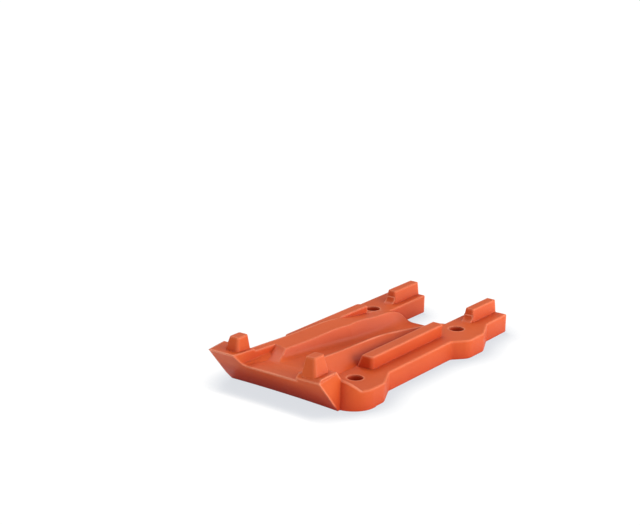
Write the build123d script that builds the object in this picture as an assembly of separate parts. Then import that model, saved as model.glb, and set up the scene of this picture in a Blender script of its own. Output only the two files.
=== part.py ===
"""Moulded chain guide insert: a slotted plate whose humped channel leads a drive chain.

Millimetres, +Z up. The origin is the middle of the four bolt holes on the flat bottom
face, +X points to the two arms and -X to the flared lip. The side at -Y carries the
round bosses, the side at +Y is straight. Values called "half" are distances from the
plane y = 0, and places along the channel are counted from the front bolt holes.
"""

import os
from math import radians, tan

from build123d import *

# plate and bolt pattern
plate_t = 8.2
hole_d = 6.5
hole_pitch_x = 76.2
hole_pitch_y = 42.4
boss_r = 12.1
side_half = 28.1
far_half = 29.0
corner_r = 9.9
corner_front = 15.2
far_front = 13.0
boss_rear_slope = 25.0
boss_front_slope = 40.0
boss_front_reach = 12.3
edge_r = 0.5

# arms behind the channel
arm_end = 31.0
arm_inner_half = 13.8
arm_outer_half = 27.8

# rails: height at the lip, and how far their tops have dropped along the channel
rail_top = 15.7
rail_drops = [(-18.0, 0.1), (-6.0, 0.7), (5.0, 1.3), (20.0, 1.8), (31.0, 2.1), (40.0, 2.9)]
shoulder_drops = [(50.0, 3.6), (62.0, 5.3)]
rail_outer_rise = 1.0
rail_foot_x = 8.0
rail_half = 16.7
rail_shoulder_end = 6.0
rim_half = 8.6
rail_rim_w = 0.5
roll_start = 1.5
roll_x = 3.4
roll_z = 4.3
toe_x = 1.2
toe_z = 2.4
web_back = 14.4
web_edge_t = 0.6

# valley outside the near rail: rim place, spread and drop along the channel
rail_foot_half = 14.2
valley_rims = [(-20.0, 0.0, 0.9), (0.0, 0.0, 1.1), (20.0, 0.0, 1.8), (40.0, 0.2, 2.8), (60.0, 2.2, 5.3)]
valley_end_step = 0.1

# chain channel: floor from lip to web, walls spreading behind the straight stretch
floor_half = 6.6
floor_r = 3.2
channel_top = 26.0
straight_floor = [(-16.0, 0.0, 12.2), (15.0, 0.0, 9.0), (40.0, 0.1, 6.2)]
spread_x = 60.0
spread_rim = 2.2
spread_floor = 0.8
spread_z = 3.9
spread_r = 3.6
mouth_x = 2.0
mouth_rim = 4.4
mouth_floor = 2.4
mouth_z = 2.0
mouth_r = 4.4
exit_rim = 8.4
exit_floor = 6.4
exit_z = 0.35
exit_r = 5.0

# flared lip
lip_lean = 42.9
lip_half = 24.5
lip_crest_half = 25.5
lip_front = 16.2
lip_bow = 2.3
lip_back = 2.9
lip_flank_root = 14.0
crest_z = 18.2
crest_reach = 33.2
crest_skew = 0.4
platform_back = 17.0
near_crest_z = 16.2
lip_top_back_z = 16.3
far_back_z = 17.2
wing_drop_slope = 49.5
wing_step = 0.7
wing_back = 19.0

# dish between the pegs, and the slope in front of the near peg
scoop_half = 13.4
scoop_flare = 2.2
dish_side_z = 13.5
dish_floor_in = 6.0
dish_low_z = 10.0
dish_line = [(-41.2, 12.4), (-29.2, 12.6), (-21.0, 12.6), (-14.0, 12.0), (-10.5, 12.7), (-4.6, 15.9)]
dish_open = 1.0
dip_half = 11.5
dip_front = 35.0
dip_back = 27.0
dip_inner_z = 8.2
dip_outer_z = 12.9
dip_back_z = 16.6

# locating bars
bar_front = 11.5
bar_rear = 11.2
bar_inner_half = 16.6
bar_near_foot = 14.2
bar_outer_half = 21.5
bar_top = 13.3
bar_corner_r = 1.6
rim_r = 0.4

# lugs on the arms
lug_len = 18.2
lug_inner_half = 17.0
lug_outer_half = 22.5
lug_h = 5.3
lug_taper = 0.75
lug_nose = 1.2
lug_corner_r = 1.0
fairing_r = 2.915
fairing_sink = 0.6

# pegs on the lip
peg_x = 23.5
peg_y = 18.6
peg_foot = 15.5
peg_top = 23.2
peg_foot_len = 9.8
peg_foot_w = 7.4
peg_foot_r = 1.4
peg_top_len = 6.4
peg_top_w = 4.5
peg_top_r = 1.0
peg_lean_x = 0.3
peg_lean_y = 0.5

# how deep a raised feature is rooted, how far a cutter runs past, how close a match is
root = 0.5
past = 1.0
near = 0.01

front_x = -hole_pitch_x / 2
rear_x = hole_pitch_x / 2
hole_y = hole_pitch_y / 2
boss_half = hole_y + boss_r
arm_x = rear_x + arm_end
web_x = rear_x + web_back
reach_x = front_x - crest_reach
slot_x = rear_x - boss_r
far_front_x = front_x - far_front
lean = tan(radians(lip_lean))
tall = 2 * crest_z


def slab(x0, x1, y0, y1, z0, z1):
    """Block between the given planes."""
    block = Box(x1 - x0, y1 - y0, z1 - z0)
    return block.moved(Location(((x0 + x1) / 2, (y0 + y1) / 2, (z0 + z1) / 2)))


def outline(points):
    """Face with straight sides through the given points."""
    return Polygon(*points, align=None)


def both_sides(solid):
    """A feature and its mirror image."""
    return solid + mirror(solid, about=Plane.XZ)


def boss_slopes(hole_x):
    """Points where the slope behind a boss leaves its flat and meets the side."""
    run = (boss_half - side_half) / tan(radians(boss_rear_slope))
    start = hole_x + boss_r * tan(radians(boss_rear_slope / 2))
    return [(start, -boss_half), (start + run, -side_half)]


def plate_outline():
    """Plan of the plate: two bosses at -Y, a straight side at +Y and two arms."""
    run = (boss_half - side_half) / tan(radians(boss_front_slope))
    front_foot = rear_x - boss_front_reach
    plan = [(front_x - corner_front, -boss_half)]
    plan += boss_slopes(front_x)
    plan += [(front_foot - run / 2, -side_half), (front_foot + run / 2, -boss_half)]
    plan += boss_slopes(rear_x)
    plan += [(arm_x, -arm_outer_half), (arm_x, -arm_inner_half), (slot_x, -arm_inner_half)]
    plan += [(slot_x, arm_inner_half), (arm_x, arm_inner_half)]
    plan += [(arm_x, far_half), (far_front_x, far_half)]
    return outline(plan)


def rounded_plan(height):
    """The plan as a block, its front corner and boss shoulders rounded."""
    front = front_x - corner_front
    body = extrude(plate_outline(), height)
    corners = [e for e in body.edges().filter_by(Axis.Z) if e.center().X < front + near]
    body = fillet(corners, corner_r)
    tops = [e for e in body.edges().filter_by(Axis.Z) if abs(e.center().Y + boss_half) < near]
    body = fillet([e for e in tops if e.center().X > front + corner_r + near], boss_r / 2)
    feet = [e for e in body.edges().filter_by(Axis.Z) if abs(e.center().Y + side_half) < near]
    return fillet(feet, boss_r / 4)


def plate():
    """Flat plate with softened top and bottom rims."""
    body = rounded_plan(plate_t)
    faces = [f for f in body.faces() if abs(f.normal_at().Z) > 1 - near]
    rims = [e for f in faces for e in f.edges()]
    outer = [e for e in rims if abs(e.center().Y) > arm_inner_half or e.center().X > rear_x]
    return fillet(outer, edge_r)


def rail_face(y, rise):
    """Side profile of a rail in the plane at y: high at the lip, rolled down to the web."""
    top = rail_top + rise
    crown = [(front_x + x, top - drop) for x, drop in rail_drops]
    crown += [(front_x + x, rail_top - drop) for x, drop in shoulder_drops]
    crown += [(rear_x + roll_start, plate_t), (web_x - roll_x, roll_z), (web_x - toe_x, toe_z)]
    foot = (front_x - rail_foot_x, 0.0)
    end = (web_x, 0.0)
    rear = (web_x, web_edge_t)
    face = make_face([Line(foot, end), Line(foot, crown[0]), Spline(*crown, rear), Line(rear, end)])
    return Plane.XZ.offset(-y) * face


def hump():
    """Raised core of the channel; its rails rise slightly toward their outer edges."""
    inner = rim_half - 2 * rail_rim_w
    core = extrude(rail_face(-inner, 0.0), 2 * inner, dir=(0, 1, 0))
    flank = loft([rail_face(inner, 0.0), rail_face(rail_half, rail_outer_rise)], ruled=True)
    narrow = slab(reach_x, web_x, inner, arm_inner_half, 0.0, tall)
    wide = slab(reach_x, rear_x + rail_shoulder_end, inner, rail_half, 0.0, tall)
    return core + both_sides(flank & (narrow + wide)) - rail_valley()


def valley_section(x, rim, top):
    """Section of the valley outside the near rail, from its rim down to the plate."""
    start = rim + rail_rim_w
    foot = max(rail_foot_half, start + rail_rim_w)
    side = rail_half + past
    points = [(-start, top), (-foot, plate_t), (-side, plate_t), (-side, tall), (-start, tall)]
    return Plane.YZ.offset(x) * outline(points)


def rail_valley():
    """Sloping outer wall of the near rail, following the rim down to the plate."""
    cuts = [valley_section(front_x + x, rim_half + w, rail_top - drop) for x, w, drop in valley_rims]
    cuts.append(valley_section(rear_x + roll_start, arm_inner_half, plate_t + valley_end_step))
    valley = loft(cuts[:2], ruled=True)
    for first, second in zip(cuts[1:], cuts[2:]):
        valley = valley + loft([first, second], ruled=True)
    return valley


def lip_section(z, near_x, middle_x, far_x, back_x):
    """Level section of the lip slab with a bowed front edge."""
    wide = boss_half + past
    bow = ThreePointArc((near_x, -lip_half), (middle_x, 0), (far_x, far_half))
    back = [(far_x, far_half), (far_x, wide), (back_x, wide), (back_x, -wide), (near_x, -wide)]
    return Pos(0, 0, z) * make_face([bow, Polyline(*back, (near_x, -lip_half))])


def lip_slab():
    """Slanted slab: bowed along the plate, straight along the crest."""
    top = crest_z + past
    front = front_x - lip_front
    back = front_x - lip_back
    shift = lean * top
    foot = lip_section(0.0, front, front + lip_bow, far_front_x, back)
    crest = front - shift + crest_skew
    head = lip_section(top, front - shift, crest, crest, back - shift)
    return loft([foot, head], ruled=True)


def above_platform(crest, back):
    """Room over a platform at +Y that runs from its crest height to its back height."""
    slope = (crest - back) / (crest_reach - platform_back)
    start = reach_x - past
    low = [(start, crest + past * slope), (front_x, crest - crest_reach * slope)]
    return extrude(Plane.XZ * outline(low + [(front_x, tall), (start, tall)]), -boss_half - past)


def lip():
    """Flared lip: slab trimmed to its two platforms, its flanks and the near wing."""
    flare = (far_half - lip_crest_half) / (crest_reach - platform_back)
    narrowing = (lip_crest_half - lip_half) / (crest_reach + 6 * past - lip_flank_root)
    flanks = [
        (reach_x - past, -lip_crest_half + 5 * past * narrowing),
        (front_x - lip_flank_root, -lip_half),
        (front_x, -lip_half),
        (front_x, far_half),
        (front_x - platform_back, far_half),
        (reach_x - past, lip_crest_half - past * flare),
    ]
    limit = extrude(outline(flanks), tall) + rounded_plan(tall)
    over = above_platform(crest_z, far_back_z)
    near_over = mirror(above_platform(near_crest_z, lip_top_back_z), about=Plane.XZ)
    return (lip_slab() & limit) - over - near_over - wing_cut() - crest_dip()


def wing_cut():
    """Slope that lowers the near wing of the lip to the plate."""
    top = lip_top_back_z - wing_step
    run = (top - plate_t) / tan(radians(wing_drop_slope))
    side = boss_half + past
    slope = [(-lip_half, top), (-lip_half - run, plate_t), (-side, plate_t)]
    wedge = outline(slope + [(-side, tall), (-lip_half, tall)])
    return extrude(Plane.YZ.offset(front_x - wing_back) * wedge, wing_back)


def crest_dip():
    """Slope in front of the near peg that eases the platform down to the dish."""
    outer = lip_crest_half + 1.5 * past
    front = [(-dip_half, dip_inner_z), (-outer, dip_outer_z), (-outer, tall), (-dip_half, tall)]
    back = [(-dip_half, dip_back_z), (-outer, dip_back_z), (-outer, tall), (-dip_half, tall)]
    low = Plane.YZ.offset(front_x - dip_front) * outline(front)
    high = Plane.YZ.offset(front_x - dip_back) * outline(back)
    return loft([low, high], ruled=True)


def channel_section(x, top_half, bottom_half, floor_z, corner):
    """Upright U section of the channel cutter in the plane at x."""
    rim = 3 * top_half - 2 * bottom_half
    floor = [(bottom_half, floor_z), (-bottom_half, floor_z)]
    face = outline([(-rim, channel_top), (rim, channel_top)] + floor)
    low = [v for v in face.vertices() if abs(v.Y - floor_z) < near]
    return Plane.YZ.offset(x) * fillet(low, corner)


def channel():
    """Chain channel: sloping floor, steep walls, walls spreading toward the back."""
    lead = [channel_section(front_x + x, rim_half + w, floor_half, z, floor_r) for x, w, z in straight_floor]
    wide = [
        (front_x + spread_x, spread_rim, spread_floor, spread_z, spread_r),
        (rear_x + mouth_x, mouth_rim, mouth_floor, mouth_z, mouth_r),
        (web_x + mouth_x, exit_rim, exit_floor, exit_z, exit_r),
    ]
    spread = [lead[-1]]
    spread += [channel_section(x, rim_half + w, floor_half + f, z, r) for x, w, f, z, r in wide]
    straight = loft(lead[:2], ruled=True) + loft(lead[1:], ruled=True)
    between_arms = slab(reach_x, web_x + mouth_x, -arm_inner_half, arm_inner_half, 0.0, channel_top)
    return (straight + loft(spread)) & between_arms


def dish():
    """Broad dished run-in that leads from the crest of the lip to the channel."""
    floor = [(front_x + x, z) for x, z in dish_line]
    lid = Polyline(floor[-1], (front_x - dish_open, tall), (floor[0][0], tall), floor[0])
    half = scoop_half + scoop_flare
    block = extrude(Plane.XZ.offset(-half) * make_face([Spline(*floor), lid]), 2 * half)
    low = scoop_half - dish_floor_in
    right = [(low, dish_low_z), (scoop_half, dish_side_z), (half, tall)]
    left = [(-y, z) for y, z in reversed(right)]
    return block & extrude(Plane.YZ.offset(floor[0][0]) * outline(right + left), front_x - floor[0][0])


def bar(foot):
    """Locating bar beside the rail, with rounded ends; its inner face starts at foot."""
    x0 = front_x + bar_front
    length = rear_x - bar_rear - x0
    inner = bar_inner_half
    outer = bar_outer_half
    foot_z = plate_t - root
    section = [(-outer, foot_z), (-foot, foot_z), (-inner, bar_top), (-outer, bar_top)]
    body = extrude(Plane.YZ.offset(x0) * outline(section), length)
    upright = [e for e in body.edges().filter_by(Axis.Z) if abs(e.center().Y + outer) < near]
    body = fillet(upright, min(bar_corner_r, (outer - inner) / 3))
    top = body.faces().sort_by(Axis.Z)[-1]
    rims = [e for e in top.edges() if e.center().Y < -inner - near]
    return fillet(rims, min(rim_r, (outer - inner) / 8))


def lug():
    """Tapered lug flush with the end of an arm."""
    x0 = arm_x - lug_len
    inner = lug_inner_half
    outer = lug_outer_half
    wall = outer - inner - 2 * lug_taper
    nose = x0 - lug_nose
    base = outline([(nose, -outer), (arm_x, -outer), (arm_x, -inner), (nose, -inner)])
    y0 = lug_taper - outer
    y1 = -inner - lug_taper
    slim = outline([(x0, y0), (arm_x, y0), (arm_x, y1), (x0, y1)])
    body = loft([Pos(0, 0, plate_t - root) * base, Pos(0, 0, plate_t + lug_h) * slim], ruled=True)
    level = [f for f in body.faces() if abs(f.normal_at().Z) > 1 - near]
    flat = [e.center() for f in level for e in f.edges()]
    steep = [e for e in body.edges() if min((e.center() - c).length for c in flat) > near]
    body = fillet([e for e in steep if e.center().X < x0], min(lug_corner_r, wall / 4))
    top = body.faces().sort_by(Axis.Z)[-1]
    rims = [e for e in top.edges() if e.center().X < arm_x - near]
    return fillet(rims, min(rim_r, wall / 5))


def lug_fairing():
    """Concave sweep from the foot of a lug down to its arm."""
    x0 = arm_x - lug_len - fairing_sink
    top = plate_t + fairing_r
    foot = plate_t - root
    corner = outline([(x0, foot), (x0, top), (x0 - fairing_r, top), (x0 - fairing_r, foot)])
    hollow = Pos(x0 - fairing_r, top) * Circle(fairing_r)
    start = lug_inner_half + fairing_sink
    length = lug_outer_half - lug_inner_half - 2 * fairing_sink
    return extrude(Plane.XZ.offset(start) * (corner - hollow), length)


def peg():
    """Tapered peg standing on the platform of the lip."""
    foot = Rectangle(peg_foot_len, peg_foot_w)
    foot = fillet(foot.vertices(), peg_foot_r)
    top = Rectangle(peg_top_len, peg_top_w)
    top = fillet(top.vertices(), peg_top_r)
    x = front_x - peg_x
    low = Pos(x, -peg_y, peg_foot) * foot
    high = Pos(x + peg_lean_x, -peg_y + peg_lean_y, peg_top) * top
    body = loft([low, high])
    return fillet(body.faces().sort_by(Axis.Z)[-1].edges(), edge_r)


def bolt_holes():
    """Four clearance holes through the plate."""
    drill = Cylinder(hole_d / 2, tall)
    return [drill.moved(Location((x, y, 0))) for x in (front_x, rear_x) for y in (-hole_y, hole_y)]


def chain_guide():
    """The whole moulding."""
    body = plate() + lip() + hump()
    body = body - channel() - dish()
    body = body + bar(bar_near_foot) + mirror(bar(bar_inner_half), about=Plane.XZ)
    body = body + both_sides(lug()) + both_sides(lug_fairing()) + both_sides(peg())
    for hole in bolt_holes():
        body = body - hole
    return body


os.makedirs("parts", exist_ok=True)
export_step(chain_guide(), "parts/guide_plate.step")
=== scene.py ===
from math import cos, radians, sin

import bpy
from mathutils import Matrix, Vector

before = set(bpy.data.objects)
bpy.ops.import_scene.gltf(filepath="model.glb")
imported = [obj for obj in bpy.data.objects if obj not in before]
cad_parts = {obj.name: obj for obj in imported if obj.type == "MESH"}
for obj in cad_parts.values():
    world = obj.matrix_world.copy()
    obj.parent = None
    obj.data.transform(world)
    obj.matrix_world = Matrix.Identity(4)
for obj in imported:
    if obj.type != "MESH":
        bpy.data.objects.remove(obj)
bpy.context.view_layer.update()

# camera, solved from the photograph: degrees, metres, and millimetres for the lens
AZIMUTH = -55.333
ELEVATION = 16.702
ROLL = 1.63
TARGET = Vector((0.1026, 0.0942, 0.0))
DISTANCE = 0.8746
LENS = 101.25
SENSOR = 36.0
CLIP_NEAR = 0.01
CLIP_FAR = 50.0

# plastic: colours
BLACK = (0, 0, 0, 1)
WHITE = (1, 1, 1, 1)
ORANGE = (0.70, 0.112, 0.022, 1)
ORANGE_DEEP = (0.64, 0.094, 0.016, 1)
ORANGE_PALE = (0.78, 0.145, 0.036, 1)
# painted shade: the deep red laid into hollows and crevices
CREVICE_SHADE_COLOUR = (0.46, 0.030, 0.010, 1)
# painted highlight: the pale colour laid along upper edges
EDGE_HIGHLIGHT_COLOUR = (1.0, 0.36, 0.20, 1)

# plastic: cloudy pigment and fine flecks
CLOUD_SCALE = 38.0
CLOUD_BAND = (0.35, 0.68)
FLECK_SCALE = 900.0
FLECK_ROUGHNESS = 0.6
FLECK_BAND = (0.58, 0.74)
FLECK_SHARE = 0.35

# plastic: painted shade as a deeper red in hollows, painted highlights as paler lines along edges
# above the plate's foot
HOLLOW_SHADE_REACH = 0.012
HOLLOW_SHADE_BAND = (0.28, 0.88)
HOLLOW_SHADE_SHARE = 0.95
EDGE_HIGHLIGHT_REACH = 0.0010
EDGE_HIGHLIGHT_BAND = (0.50, 0.90)
EDGE_HIGHLIGHT_SHARE = 0.65
EDGE_HIGHLIGHT_HEIGHTS = (0.0015, 0.0035)
HOLLOW_SHADE_SAMPLES = 3
EDGE_HIGHLIGHT_SAMPLES = 3

# plastic: sheen and surface texture
REFRACTION = 1.45
SPECULAR = 0.26
SHEEN_SCALE = 120.0
ROUGHNESS = (0.36, 0.52)
BEVEL_RADIUS = 0.00045
BEVEL_SAMPLES = 4
GRAIN_SCALE = 2600.0
GRAIN_SHARE = 0.12
WAVE_SCALE = 90.0
BUMP_STRENGTH = 0.18
BUMP_DEPTH = 0.0003

# floor as the camera sees it: mostly an even white that greys softly round the object
FLOOR_SIZE = 8.0
FLOOR_Z = -0.0001
FLOOR_GLOW_SHARE = 0.93
FLOOR_TONES = ((0.85, 0.86, 0.87, 1), (0.88, 0.89, 0.90, 1))
FLOOR_TONE_SCALE = 30.0
FLOOR_TONE_BAND = (0.3, 0.7)
SHADOW_REACH = 0.012
SHADOW_SAMPLES = 6
SHADOW_BAND = (0.66, 1.0)
SHADOW_GREY = (0.74, 0.77, 0.81, 1)
OPEN_WHITE = (1.06, 1.06, 1.06, 1)

# surroundings and lamps: each lamp has a name, a place and a power in watts
DOME_TINT = (0.97, 0.98, 1.0, 1)
DOME_STRENGTH = 0.31
LAMP_SIZE = 1.0
LAMPS = (
    ("front", (0.15, -1.35, 0.24), 18.0),
    ("back", (0.4, 0.7, 1.2), 10.0),
    ("left", (-1.3, -0.1, 0.5), 5.4),
    ("right", (1.1, -0.9, 0.35), 8.0),
)


def new_material(name):
    material = bpy.data.materials.new(name)
    material.use_nodes = True
    tree = material.node_tree
    tree.nodes.clear()
    return material, tree


def node(tree, kind, **values):
    """New node; each value goes to the input of that name, or else to the setting."""
    made = tree.nodes.new(kind)
    for key, value in values.items():
        if key in made.inputs:
            made.inputs[key].default_value = value
        else:
            setattr(made, key, value)
    return made


def noise(tree, coords, scale, detail=2.0, rough=0.5):
    made = node(tree, "ShaderNodeTexNoise", Scale=scale, Detail=detail, Roughness=rough)
    tree.links.new(coords, made.inputs["Vector"])
    return made.outputs["Fac"]


def ramp(tree, value, band, colours):
    """Colour that runs from the first to the second over a band of the value."""
    made = tree.nodes.new("ShaderNodeValToRGB")
    for element, position, colour in zip(made.color_ramp.elements, band, colours):
        element.position = position
        element.color = colour
    tree.links.new(value, made.inputs["Fac"])
    return made.outputs["Color"]


def scaled(tree, value, band, levels):
    """Straight-line change of a value over a band, held level outside it."""
    made = node(tree, "ShaderNodeMapRange")
    for name, level in zip(("From Min", "From Max", "To Min", "To Max"), (*band, *levels)):
        made.inputs[name].default_value = level
    tree.links.new(value, made.inputs["Value"])
    return made.outputs["Result"]


def mixed(tree, factor, first, colour):
    """Blend of a colour output toward a plain colour."""
    made = node(tree, "ShaderNodeMix", data_type="RGBA")
    tree.links.new(factor, made.inputs["Factor"])
    tree.links.new(first, made.inputs[6])
    made.inputs[7].default_value = colour
    return made.outputs[2]


def pigment(tree, coords):
    """Cloudy orange with fine paler flecks."""
    cloud = noise(tree, coords, CLOUD_SCALE, 4.0)
    base = ramp(tree, cloud, CLOUD_BAND, (ORANGE_DEEP, ORANGE))
    fleck = noise(tree, coords, FLECK_SCALE, 3.0, FLECK_ROUGHNESS)
    flecks = ramp(tree, fleck, FLECK_BAND, (BLACK, WHITE))
    share = node(tree, "ShaderNodeMath", operation="MULTIPLY")
    share.inputs[1].default_value = FLECK_SHARE
    tree.links.new(flecks, share.inputs[0])
    return mixed(tree, share.outputs[0], base, ORANGE_PALE)


def painted_shade_and_highlight(tree, coords, base):
    """Painted shade as a deeper red in hollows, and painted highlights as pale lines along the
    upper edges.
    """
    # painted shade: where occlusion is high, the colour runs toward the crevice red
    shade_occlusion = node(
        tree, "ShaderNodeAmbientOcclusion", samples=HOLLOW_SHADE_SAMPLES, Distance=HOLLOW_SHADE_REACH
    )
    shade_amount = scaled(tree, shade_occlusion.outputs["AO"], HOLLOW_SHADE_BAND, (HOLLOW_SHADE_SHARE, 0.0))
    shaded_base = mixed(tree, shade_amount, base, CREVICE_SHADE_COLOUR)
    # painted highlight: pale lines where the solid is thin at its edges, only above the plate's
    # foot
    thin_edge_occlusion = node(
        tree, "ShaderNodeAmbientOcclusion", samples=EDGE_HIGHLIGHT_SAMPLES, inside=True, Distance=EDGE_HIGHLIGHT_REACH
    )
    highlight_amount = scaled(tree, thin_edge_occlusion.outputs["AO"], EDGE_HIGHLIGHT_BAND, (EDGE_HIGHLIGHT_SHARE, 0.0))
    place = node(tree, "ShaderNodeSeparateXYZ")
    tree.links.new(coords, place.inputs["Vector"])
    upper = scaled(tree, place.outputs["Z"], EDGE_HIGHLIGHT_HEIGHTS, (0.0, 1.0))
    edge_highlight = node(tree, "ShaderNodeMath", operation="MULTIPLY")
    tree.links.new(highlight_amount, edge_highlight.inputs[0])
    tree.links.new(upper, edge_highlight.inputs[1])
    return mixed(tree, edge_highlight.outputs[0], shaded_base, EDGE_HIGHLIGHT_COLOUR)


def surface_normal(tree, coords):
    """Softened edges under a fine grain and slow waves."""
    edge = node(tree, "ShaderNodeBevel", samples=BEVEL_SAMPLES, Radius=BEVEL_RADIUS)
    grain = noise(tree, coords, GRAIN_SCALE)
    waves = noise(tree, coords, WAVE_SCALE)
    height = node(tree, "ShaderNodeMath", operation="MULTIPLY_ADD")
    height.inputs[1].default_value = GRAIN_SHARE
    tree.links.new(grain, height.inputs[0])
    tree.links.new(waves, height.inputs[2])
    bump = node(tree, "ShaderNodeBump", Strength=BUMP_STRENGTH, Distance=BUMP_DEPTH)
    tree.links.new(height.outputs[0], bump.inputs["Height"])
    tree.links.new(edge.outputs["Normal"], bump.inputs["Normal"])
    return bump.outputs["Normal"]


def moulded_plastic():
    """Satin orange thermoplastic."""
    material, tree = new_material("orange_plastic")
    link = tree.links.new
    out = node(tree, "ShaderNodeOutputMaterial")
    bsdf = node(tree, "ShaderNodeBsdfPrincipled", IOR=REFRACTION)
    bsdf.inputs["Specular IOR Level"].default_value = SPECULAR
    coords = node(tree, "ShaderNodeTexCoord").outputs["Object"]
    link(painted_shade_and_highlight(tree, coords, pigment(tree, coords)), bsdf.inputs["Base Color"])
    rough = node(tree, "ShaderNodeMapRange")
    rough.inputs["To Min"].default_value = ROUGHNESS[0]
    rough.inputs["To Max"].default_value = ROUGHNESS[1]
    link(noise(tree, coords, SHEEN_SCALE, 5.0), rough.inputs["Value"])
    link(rough.outputs["Result"], bsdf.inputs["Roughness"])
    link(surface_normal(tree, coords), bsdf.inputs["Normal"])
    link(bsdf.outputs["BSDF"], out.inputs["Surface"])
    return material


def white_floor():
    """Plain white studio floor that keeps the soft shadow."""
    bpy.ops.mesh.primitive_plane_add(size=FLOOR_SIZE, location=(0, 0, FLOOR_Z))
    floor = bpy.context.object
    floor.name = "floor"
    material, tree = new_material("studio_floor")
    link = tree.links.new
    out = node(tree, "ShaderNodeOutputMaterial")
    body = node(tree, "ShaderNodeBsdfDiffuse")
    coords = node(tree, "ShaderNodeTexCoord").outputs["Object"]
    mottle = noise(tree, coords, FLOOR_TONE_SCALE, 3.0)
    link(ramp(tree, mottle, FLOOR_TONE_BAND, FLOOR_TONES), body.inputs["Color"])
    near = node(
        tree, "ShaderNodeAmbientOcclusion", samples=SHADOW_SAMPLES, Distance=SHADOW_REACH
    )
    lift = node(tree, "ShaderNodeEmission", Strength=1.0)
    soft = ramp(tree, near.outputs["AO"], SHADOW_BAND, (SHADOW_GREY, OPEN_WHITE))
    link(soft, lift.inputs["Color"])
    seen = node(tree, "ShaderNodeMixShader", Fac=FLOOR_GLOW_SHARE)
    mix = node(tree, "ShaderNodeMixShader")
    path = node(tree, "ShaderNodeLightPath")
    link(body.outputs["BSDF"], seen.inputs[1])
    link(lift.outputs["Emission"], seen.inputs[2])
    link(path.outputs["Is Camera Ray"], mix.inputs["Fac"])
    link(body.outputs["BSDF"], mix.inputs[1])
    link(seen.outputs["Shader"], mix.inputs[2])
    link(mix.outputs["Shader"], out.inputs["Surface"])
    floor.data.materials.append(material)


def white_world():
    """White surroundings for the camera, a softer grey dome as light."""
    world = bpy.data.worlds.new("studio")
    world.use_nodes = True
    bpy.context.scene.world = world
    tree = world.node_tree
    tree.nodes.clear()
    link = tree.links.new
    out = node(tree, "ShaderNodeOutputWorld")
    dome = node(tree, "ShaderNodeBackground", Color=DOME_TINT, Strength=DOME_STRENGTH)
    seen = node(tree, "ShaderNodeBackground", Color=WHITE, Strength=1.0)
    mix = node(tree, "ShaderNodeMixShader")
    path = node(tree, "ShaderNodeLightPath")
    link(path.outputs["Is Camera Ray"], mix.inputs["Fac"])
    link(dome.outputs["Background"], mix.inputs[1])
    link(seen.outputs["Background"], mix.inputs[2])
    link(mix.outputs["Shader"], out.inputs["Surface"])


def area_light(name, place, power):
    """Square lamp that points at the object."""
    data = bpy.data.lights.new(name, "AREA")
    data.size = LAMP_SIZE
    data.energy = power
    lamp = bpy.data.objects.new(name, data)
    lamp.location = place
    lamp.rotation_euler = (-Vector(place)).to_track_quat("-Z", "Y").to_euler()
    bpy.context.scene.collection.objects.link(lamp)


def place_camera():
    """Camera as solved: back, right and up are its own axes, turned by the roll."""
    az, el, roll = radians(AZIMUTH), radians(ELEVATION), radians(ROLL)
    back = Vector((sin(az) * cos(el), -cos(az) * cos(el), sin(el)))
    right = Vector((cos(az), sin(az), 0.0))
    up = back.cross(right)
    side = right * cos(roll) + up * sin(roll)
    top = up * cos(roll) - right * sin(roll)
    data = bpy.data.cameras.new("camera")
    data.sensor_fit = "HORIZONTAL"
    data.sensor_width = SENSOR
    data.lens = LENS
    data.clip_start = CLIP_NEAR
    data.clip_end = CLIP_FAR
    camera = bpy.data.objects.new("camera", data)
    turn = Matrix((side, top, back)).transposed().to_4x4()
    camera.matrix_world = Matrix.Translation(TARGET + back * DISTANCE) @ turn
    bpy.context.scene.collection.objects.link(camera)
    bpy.context.scene.camera = camera


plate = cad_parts["guide_plate"]
for holder in plate.material_slots:
    holder.material = moulded_plastic()
white_floor()
white_world()
for name, place, power in LAMPS:
    area_light(name, place, power)
place_camera()
bpy.context.scene.view_settings.view_transform = "Standard"
